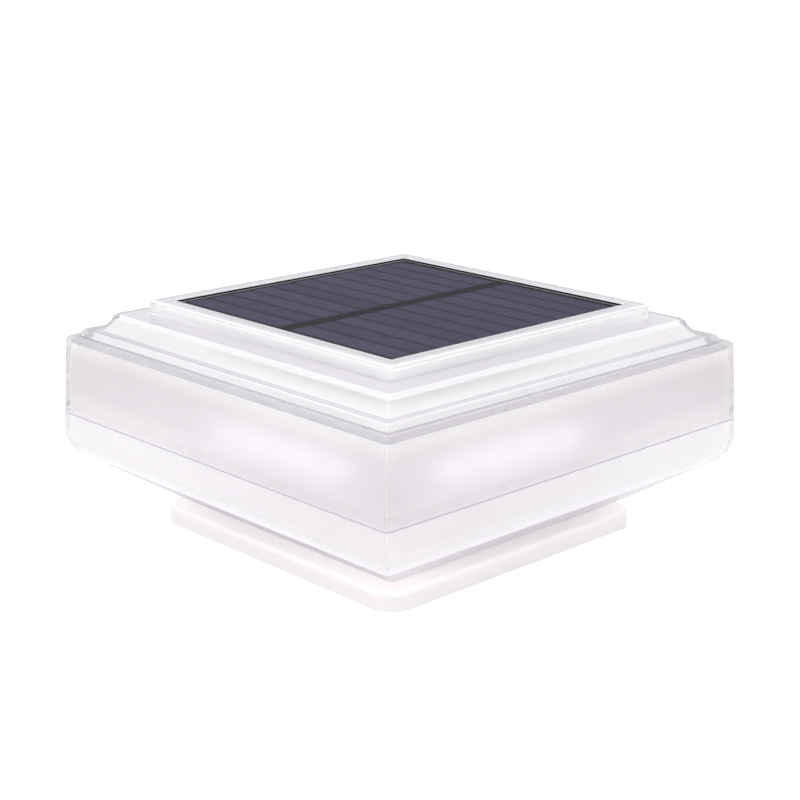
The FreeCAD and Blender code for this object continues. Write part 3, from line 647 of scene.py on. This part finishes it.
def cellFinish():
    kit = panel
    material, sheet = newMaterial("siliconCell")
    x, y = sheet.axes()[:2]
    along = (y - kit["firstStrip"]) / kit["pitch"]
    number = sheet.add("ShaderNodeMath", {"operation": "FLOOR"}, {0: along})
    seed = number + x.over(0.0) * kit["rowSeed"]
    chance = sheet.add("ShaderNodeTexWhiteNoise", {"noise_dimensions": "1D"}, {"W": seed})
    flake = sheet.add("ShaderNodeTexVoronoi", {"feature": "F1"},
                      {"Vector": sheet.place(), "Scale": kit["flakeScale"]}, output=1)
    flake = sheet.add("ShaderNodeSeparateColor", inputs={0: flake})
    cloud = sheet.noise(kit["cloudScale"])
    share = chance * kit["chance"] + flake * kit["flake"] + cloud * kit["cloud"]
    tint = sheet.blend(share, kit["cell"], kit["cellBright"])
    across = sheet.add("ShaderNodeMath", {"operation": "FRACT"}, {0: along})
    gap = sheet.spread(abs(across - kit["stripMiddle"]), *kit["gap"])
    tint = sheet.blend(gap * kit["gapShare"], tint, kit["stripEdge"])
    part = sheet.add("ShaderNodeMath", {"operation": "FRACT"}, {0: along * kit["fingers"]})
    line = sheet.spread(abs(part - 0.5), *kit["line"])
    tint = sheet.blend(line * kit["lineShare"], tint, kit["finger"])
    gloss = sheet.spread(flake, 0.0, 1.0, *kit["cellRough"])
    relief = sheet.bump(line, kit["lineRelief"], kit["lineDepth"])
    shader = sheet.add("ShaderNodeBsdfPrincipled", inputs={
        "Base Color": tint, "Roughness": gloss, "Specular IOR Level": 0.0, "Normal": relief})
    sheet.surface(shader)
    return material


def resinFinish():
    kit = panel
    material, sheet = newMaterial("castResin")
    swell = sheet.bump(sheet.noise(kit["swellScale"], 2.0), kit["swell"], kit["swellDepth"])
    relief = sheet.bump(sheet.noise(kit["pitScale"], 3.0), kit["pit"], kit["pitDepth"], swell)
    tint = asColour(kit["resinTint"])
    clear = sheet.add("ShaderNodeBsdfTransparent", inputs={"Color": tint})
    mirror = sheet.add("ShaderNodeBsdfGlossy", inputs={
        "Color": asColour(kit["mirrorTint"]), "Roughness": kit["resinRough"], "Normal": relief})
    turn = sheet.add("ShaderNodeLayerWeight", inputs={"Blend": kit["turn"], "Normal": relief},
                     output="Fresnel")
    share = turn * kit["gloss"]
    sheet.surface(sheet.add("ShaderNodeMixShader", inputs={0: share, 1: clear, 2: mirror}))
    return material


sideFace = 1              # the resin sheet's sides, which show the laminate's colour


def resinOutline():
    half, low, high, edge = (panel[key] for key in ("half", "low", "high", "edge"))
    outline = Outline(middle, low, panel["corner"])
    outline.to(half, low)
    outline.to(half, high - edge, finish=sideFace)
    outline.turn((half - edge, high - edge), edge, 0, 90, panel["edgeSteps"])
    outline.to(middle, high)
    return outline


finishes["solar_cells"] = cellFinish()
resinFaces = [resinFinish(), finishes["panel_board"]]
resinPiece = loft("resinSheet", [(resinOutline(), False)], resinFaces)
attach(resinPiece, "cap_light")
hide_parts("panel_coat")
print("solar panel dressed")

# The lit strips, with a painted glow on their boards and a painted pool of their light on the
# white housing
light = {
    "chip": 2.5, "board": 0.8, "housing": 0.42,      # strengths of the light given off: the chips are the lamps, the glow on the boards and on the housing is painted light
    "cool": (0.86, 0.92, 1.0), "warm": (1.0, 0.84, 0.6), "dim": (0.2, 0.22, 0.25),
    "fade": 0.016, "fadePower": 1.6,                 # of the painted glow across the housing, in metres
    "spanFull": 0.02, "spanEnd": 0.05,               # and along it, from the middle of a side
    "warmLow": -0.002, "warmHigh": 0.012,            # where the painted glow turns warm above the strip
    "grainScale": 700.0, "grain": 0.15, "grainDepth": 0.00005,
    "white": ((0.84, 0.84, 0.84), (0.9, 0.9, 0.9)), "housingRough": 0.45,
    "boardScale": 1500.0, "boardWhite": ((0.86, 0.86, 0.86), (0.93, 0.93, 0.93)),
    "boardRough": 0.35,
    "chipScale": 3000.0, "phosphor": ((0.95, 0.85, 0.5), (0.95, 0.9, 0.65)), "chipRough": 0.4,
}
low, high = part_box("led_board_front")
stripHeight = (low.z + high.z) / 2


# painted light: how lit a place on the housing's sides is painted, and how warm that painted light
# is
def paintedLampGlow(sheet):
    x, y, z = sheet.axes()
    along = abs(x).smaller(abs(y))
    rise = z - stripHeight
    across = sheet.spread(abs(rise), light["fade"], 0.0)
    span = sheet.spread(along, light["spanEnd"], light["spanFull"])
    paintedWarmth = sheet.spread(rise, light["warmLow"], light["warmHigh"])
    return (across ** light["fadePower"]) * span, paintedWarmth


def housingFinish():
    material, sheet = newMaterial("housingWithPaintedGlow")
    glow, paintedWarmth = paintedLampGlow(sheet)
    hue = sheet.blend(paintedWarmth, light["cool"], light["warm"])
    paintedGlowColour = sheet.blend(glow, (0, 0, 0), hue)
    texture = sheet.noise(light["grainScale"], 3.0)
    relief = sheet.bump(texture, light["grain"], light["grainDepth"])
    shader = sheet.add("ShaderNodeBsdfPrincipled", inputs={
        "Base Color": sheet.blend(texture, *light["white"]), "Roughness": light["housingRough"],
        "Emission Color": paintedGlowColour, "Emission Strength": light["housing"], "Normal": relief})
    sheet.surface(shader)
    return material


def stripFinish():
    material, sheet = newMaterial("stripWithPaintedGlow")
    # painted glow: the strip board gives off light along the painted pool, though only its chips
    # are lamps
    paintedGlowColour = sheet.blend(paintedLampGlow(sheet)[0], light["dim"], light["cool"])
    texture = sheet.noise(light["boardScale"], 3.0)
    shader = sheet.add("ShaderNodeBsdfPrincipled", inputs={
        "Base Color": sheet.blend(texture, *light["boardWhite"]), "Roughness": light["boardRough"],
        "Emission Color": paintedGlowColour, "Emission Strength": light["board"]})
    sheet.surface(shader)
    return material


def chipFinish():
    material, sheet = newMaterial("litPhosphor")
    speck = sheet.noise(light["chipScale"], 2.0)
    shader = sheet.add("ShaderNodeBsdfPrincipled", inputs={
        "Base Color": sheet.blend(speck, *light["phosphor"]), "Roughness": light["chipRough"],
        "Emission Color": asColour(light["cool"]), "Emission Strength": light["chip"]})
    sheet.surface(shader)
    return material


finishes["lamp_housing"] = housingFinish()
strip, chip = stripFinish(), chipFinish()
for side in ("right", "back", "left", "front"):
    finishes["led_board_" + side] = strip
    finishes["led_chips_" + side] = chip

for name, material in finishes.items():
    solid = nodes[name]
    solid.data.materials.clear()
    solid.data.materials.append(material)
print("finishes on", len(finishes), "nodes")

# The studio, in metres and watts; angles go round from the front side and up
studio = {
    "ambient": 0.78, "tint": (1.0, 0.99, 0.995),
    "floorColour": (0.78, 0.78, 0.785), "floorBright": 1.02, "grainScale": 25.0,
    "floorHalf": 4.0, "floorDrop": 0.0001,      # just below the foot
    "near": 0.25, "far": 1.2, "nearLift": 0.3, "farLift": 0.9,   # the floor pales far away
    "aim": 0.04,
}
lamps = {   # angle round, angle up, distance, width and depth, power
    "keyLamp": (0, 55, 1.1, (0.7, 0.7), 3.8),
    "fillLamp": (95, 45, 1.2, (0.8, 0.8), 2.7),
    "rimLamp": (225, 40, 1.2, (1.0, 0.6), 1.7),
}

floorMaterial, sheet = newMaterial("paleFloor")
bright = tuple(value * studio["floorBright"] for value in studio["floorColour"])
tone = sheet.blend(sheet.noise(studio["grainScale"], 3.0), studio["floorColour"], bright)
paper = sheet.add("ShaderNodeBsdfDiffuse", inputs={"Color": tone})
x, y = sheet.axes()[:2]
away = (x * x + y * y) ** 0.5
lift = sheet.spread(away, *(studio[key] for key in ("near", "far", "nearLift", "farLift")))
lift = lift * sheet.rays("Is Camera Ray", "Is Glossy Ray", "Is Transmission Ray")
glow = sheet.add("ShaderNodeEmission", inputs={"Color": (1, 1, 1, 1), "Strength": lift})
sheet.surface(sheet.add("ShaderNodeAddShader", inputs={0: paper, 1: glow}))

floorMesh = bpy.data.meshes.new("floor")
shape = bmesh.new()
bmesh.ops.create_grid(shape, x_segments=8, y_segments=8, size=studio["floorHalf"])
shape.to_mesh(floorMesh)
shape.free()
floorMesh.materials.append(floorMaterial)
floor = bpy.data.objects.new("floor", floorMesh)
floor.location.z = -studio["floorDrop"]
bpy.context.scene.collection.objects.link(floor)

world = bpy.data.worlds.new("studio")
bpy.context.scene.world = world
world.use_nodes = True
sheet = Sheet(world.node_tree)
seen = sheet.rays("Is Camera Ray", "Is Glossy Ray", "Is Transmission Ray")
dim = sheet.add("ShaderNodeBackground", inputs={0: asColour(studio["tint"]), 1: studio["ambient"]})
white = sheet.add("ShaderNodeBackground", inputs={0: (1, 1, 1, 1), 1: 1.0})
sheet.surface(sheet.add("ShaderNodeMixShader", inputs={0: seen, 1: dim, 2: white}))


def outward(azimuth, elevation):  # the way from the object to a lamp or the camera
    level = cosine(elevation)
    return Vector((sine(azimuth) * level, -cosine(azimuth) * level, sine(elevation)))


for name, (azimuth, elevation, distance, size, power) in lamps.items():
    lampData = bpy.data.lights.new(name, "AREA")
    lampData.shape = "RECTANGLE"
    lampData.size, lampData.size_y = size
    lampData.energy = power
    lamp = bpy.data.objects.new(name, lampData)
    bpy.context.scene.collection.objects.link(lamp)
    back = outward(azimuth, elevation)
    lamp.location = Vector((0, 0, studio["aim"])) + back * distance
    lamp.rotation_euler = back.to_track_quat("Z", "Y").to_euler()

# The camera stands as the photograph's did
view = {
    "lens": 75.63, "sensor": 36.0, "azimuth": 46.45, "pitch": 16.2, "roll": 0.17,
    "distance": 0.5884, "aim": 0.0659, "right": 0.00065, "up": -0.01975, "clip": 0.01,
}
back = outward(view["azimuth"], view["pitch"])
right = Vector((cosine(view["azimuth"]), sine(view["azimuth"]), 0))
upward = back.cross(right)
cameraData = bpy.data.cameras.new("camera")
cameraData.lens = view["lens"]
cameraData.sensor_width = view["sensor"]
cameraData.clip_start = view["clip"]
camera = bpy.data.objects.new("camera", cameraData)
bpy.context.scene.collection.objects.link(camera)
shift = right * view["right"] + upward * view["up"]
camera.location = Vector((0, 0, view["aim"])) + back * view["distance"] + shift
camera.rotation_euler = back.to_track_quat("Z", "Y").to_euler()
camera.rotation_euler.rotate_axis("Z", math.radians(view["roll"]))
bpy.context.scene.camera = camera
bpy.context.scene.view_settings.view_transform = "Standard"
print("studio and camera set")
